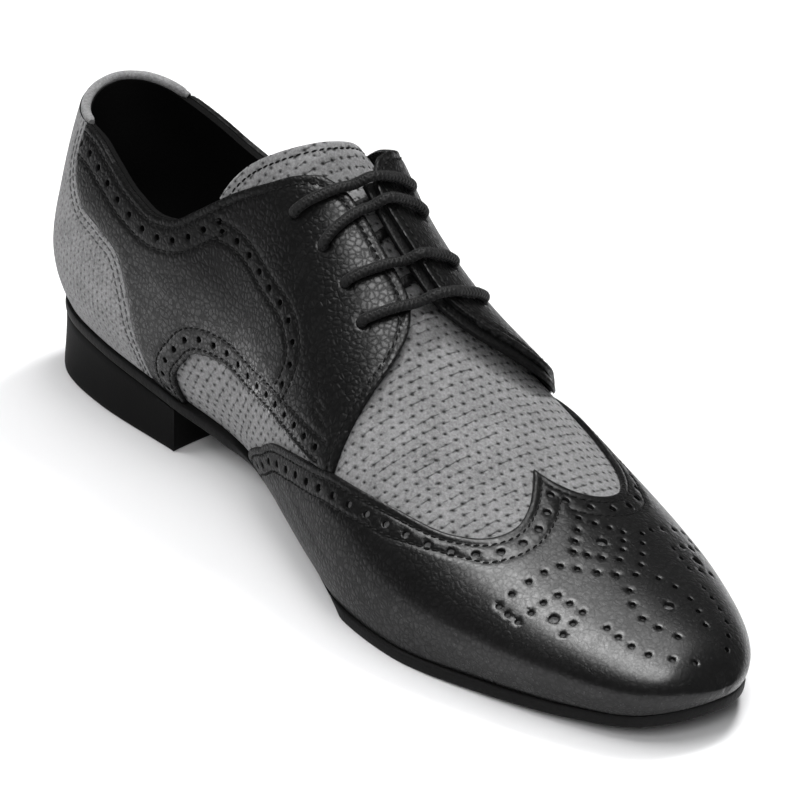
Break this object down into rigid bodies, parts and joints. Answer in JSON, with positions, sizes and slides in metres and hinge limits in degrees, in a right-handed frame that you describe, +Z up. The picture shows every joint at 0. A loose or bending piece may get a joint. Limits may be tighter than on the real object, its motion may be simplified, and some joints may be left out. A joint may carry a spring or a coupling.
{
  "type": "dance shoe",
  "caption": "Left wing-cap derby dance shoe: hollow two-tone leather upper with open collar, laced facings over a tongue, thin arched sole and low heel.",
  "frame": {"origin": "on the ground under the middle of the shoe's box", "axes": "+X to the toe, +Y to the outer side of the left foot, +Z up"},
  "size_m": [0.293, 0.0976, 0.1108],
  "materials": {
    "nubuck": "matte grey perforated nubuck",
    "leather": "satin black pebble grain",
    "lace": "matte waxed round cord",
    "lining": "matte",
    "sole_edge": "satin dyed edge",
    "heel_stack": "satin dyed stack",
    "heel_rubber": "matte"
  },
  "bodies": {
    "root": {"upper": "nubuck", "wing_cap": "leather", "quarter_inner": "leather", "quarter_outer": "leather", "heel_counter": "nubuck", "collar_binding": "nubuck", "tongue": "nubuck", "insole": "lining", "outsole": "sole_edge", "heel": "heel_stack", "heel_top_piece": "heel_rubber", "lace_bar_1": "lace", "lace_bar_2": "lace", "lace_bar_3": "lace", "lace_bar_4": "lace"}
  },
  "joints": []
}
